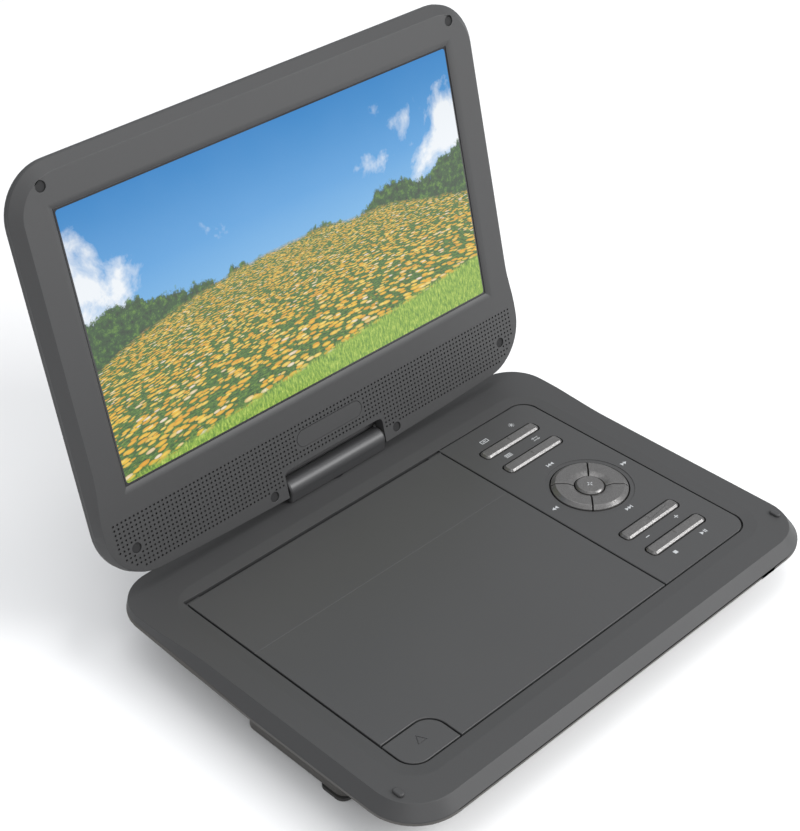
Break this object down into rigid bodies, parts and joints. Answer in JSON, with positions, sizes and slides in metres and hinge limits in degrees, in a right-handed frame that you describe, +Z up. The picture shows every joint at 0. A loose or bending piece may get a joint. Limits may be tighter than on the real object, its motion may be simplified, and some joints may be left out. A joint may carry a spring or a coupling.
{
  "type": "portable dvd player",
  "caption": "Folding disc player: base with disc lid, rocker keys and ring pad, and a display that tilts and swivels on a wide barrel hinge.",
  "frame": {"origin": "on the surface that the feet stand on, under the middle of the opened player's box", "axes": "+X to the user's right along the hinge, +Y from the user towards the hinge, +Z up"},
  "size_m": [0.2614, 0.2352, 0.2141],
  "materials": {
    "case_plastic": "matte dark grey",
    "lid_plastic": "matte dark grey",
    "key_plastic": "fine metallic grey",
    "barrel_plastic": "satin dark grey",
    "plate_plastic": "satin dark grey",
    "black_plastic": "matte black",
    "steel": "bright",
    "circuit_board": "green solder mask",
    "chip_black": "black",
    "rubber_dark": "matte",
    "battery_wrap": "blue film",
    "dark_window": "gloss",
    "lens_glass": "polished",
    "lcd_surface": "glossy display"
  },
  "bodies": {
    "base": {"base_top_cover": "case_plastic", "base_bottom_cover": "case_plastic", "control_panel": "lid_plastic", "key_board": "circuit_board", "key_switches": "chip_black", "disc_tray": "black_plastic", "drive_chassis": "steel", "drive_dampers": "rubber_dark", "spindle_motor": "steel", "guide_rails": "steel", "feed_motor": "steel", "main_board": "circuit_board", "board_chips": "chip_black", "battery_pack": "battery_wrap", "battery_cover": "case_plastic", "headphone_jack": "black_plastic", "av_jack": "black_plastic", "power_jack": "black_plastic", "usb_socket": "steel", "card_slot": "black_plastic", "rubber_feet": "rubber_dark", "rest_bumps": "case_plastic", "case_screws": "steel", "infrared_window": "dark_window", "swivel_bush": "black_plastic"},
    "lid": {"disc_lid": "lid_plastic", "lid_pins": "black_plastic"},
    "lid_button": {"open_button": "lid_plastic"},
    "bar_mode": {"rocker_mode": "key_plastic"},
    "bar_menu": {"rocker_menu": "key_plastic"},
    "bar_volume": {"rocker_volume": "key_plastic"},
    "bar_play": {"rocker_play": "key_plastic"},
    "key_right": {"pad_right": "key_plastic"},
    "key_up": {"pad_up": "key_plastic"},
    "key_left": {"pad_left": "key_plastic"},
    "key_down": {"pad_down": "key_plastic"},
    "key_ok": {"ok_button": "key_plastic"},
    "switch_knob": {"power_switch": "black_plastic"},
    "disc_hub": {"turntable": "black_plastic", "hub_balls": "steel"},
    "sled": {"pickup_sled": "black_plastic", "pickup_lens": "lens_glass"},
    "feed_screw": {"lead_screw": "steel"},
    "hinge": {"hinge_barrel": "barrel_plastic", "swivel_shaft": "steel", "swivel_nut": "steel", "friction_sleeves": "steel"},
    "screen": {"tilt_pins": "steel", "hinge_brackets": "steel", "screen_bezel": "case_plastic", "blank_plate": "plate_plastic", "screen_rear_cover": "case_plastic", "lcd_panel": "lcd_surface", "driver_board": "circuit_board", "speaker_left": "chip_black", "speaker_right": "chip_black", "screw_plugs": "rubber_dark", "screen_screws": "steel"}
  },
  "joints": [
    {"name": "screen_swivel", "type": "hinge", "parent": "base", "child": "hinge", "pos_m": [0, 0.0669, 0.0323], "axis": [0, 0, 1], "range_deg": [-180, 0]},
    {"name": "screen_tilt", "type": "hinge", "parent": "hinge", "child": "screen", "pos_m": [0, 0.0669, 0.0323], "axis": [-1, 0, 0], "range_deg": [-103.6, 36.4]},
    {"name": "lid_hinge", "type": "hinge", "parent": "base", "child": "lid", "pos_m": [-0.03, 0.0429, 0.0245], "axis": [-1, 0, 0], "range_deg": [0, 62]},
    {"name": "open_press", "type": "slide", "parent": "base", "child": "lid_button", "axis": [0, 0, -1], "range_m": [0, 0.0011], "stiffness_N_per_m": 600},
    {"name": "switch_slide", "type": "slide", "parent": "base", "child": "switch_knob", "axis": [0, 1, 0], "range_m": [0, 0.0034]},
    {"name": "hub_spin", "type": "hinge", "parent": "base", "child": "disc_hub", "pos_m": [-0.0304, -0.0253, 0.02], "axis": [0, 0, 1], "continuous": true},
    {"name": "sled_slide", "type": "slide", "parent": "base", "child": "sled", "axis": [0, -1, 0], "range_m": [0, 0.032]},
    {"name": "screw_spin", "type": "hinge", "parent": "base", "child": "feed_screw", "pos_m": [-0.0064, -0.0553, 0.0126], "axis": [0, 1, 0], "range_deg": [0, 1000]},
    {"name": "mode_rock", "type": "hinge", "parent": "base", "child": "bar_mode", "pos_m": [0.0781, 0.0253, 0.0216], "axis": [0, 1, 0], "range_deg": [-2.2, 2.2], "stiffness_Nm_per_rad": 0.5},
    {"name": "menu_rock", "type": "hinge", "parent": "base", "child": "bar_menu", "pos_m": [0.0781, 0.0102, 0.0216], "axis": [0, 1, 0], "range_deg": [-2.2, 2.2], "stiffness_Nm_per_rad": 0.5},
    {"name": "volume_rock", "type": "hinge", "parent": "base", "child": "bar_volume", "pos_m": [0.0781, -0.0608, 0.0216], "axis": [0, 1, 0], "range_deg": [-2.2, 2.2], "stiffness_Nm_per_rad": 0.5},
    {"name": "play_rock", "type": "hinge", "parent": "base", "child": "bar_play", "pos_m": [0.0781, -0.0759, 0.0216], "axis": [0, 1, 0], "range_deg": [-2.2, 2.2], "stiffness_Nm_per_rad": 0.5},
    {"name": "right_press", "type": "slide", "parent": "base", "child": "key_right", "axis": [0, 0, -1], "range_m": [0, 0.0008], "stiffness_N_per_m": 600},
    {"name": "up_press", "type": "slide", "parent": "base", "child": "key_up", "axis": [0, 0, -1], "range_m": [0, 0.0008], "stiffness_N_per_m": 600},
    {"name": "left_press", "type": "slide", "parent": "base", "child": "key_left", "axis": [0, 0, -1], "range_m": [0, 0.0008], "stiffness_N_per_m": 600},
    {"name": "down_press", "type": "slide", "parent": "base", "child": "key_down", "axis": [0, 0, -1], "range_m": [0, 0.0008], "stiffness_N_per_m": 600},
    {"name": "ok_press", "type": "slide", "parent": "base", "child": "key_ok", "axis": [0, 0, -1], "range_m": [0, 0.0008], "stiffness_N_per_m": 600}
  ],
  "couplings": [
    {"joint": "screw_spin", "follows": "sled_slide", "rad_per_m": 523.6}
  ]
}
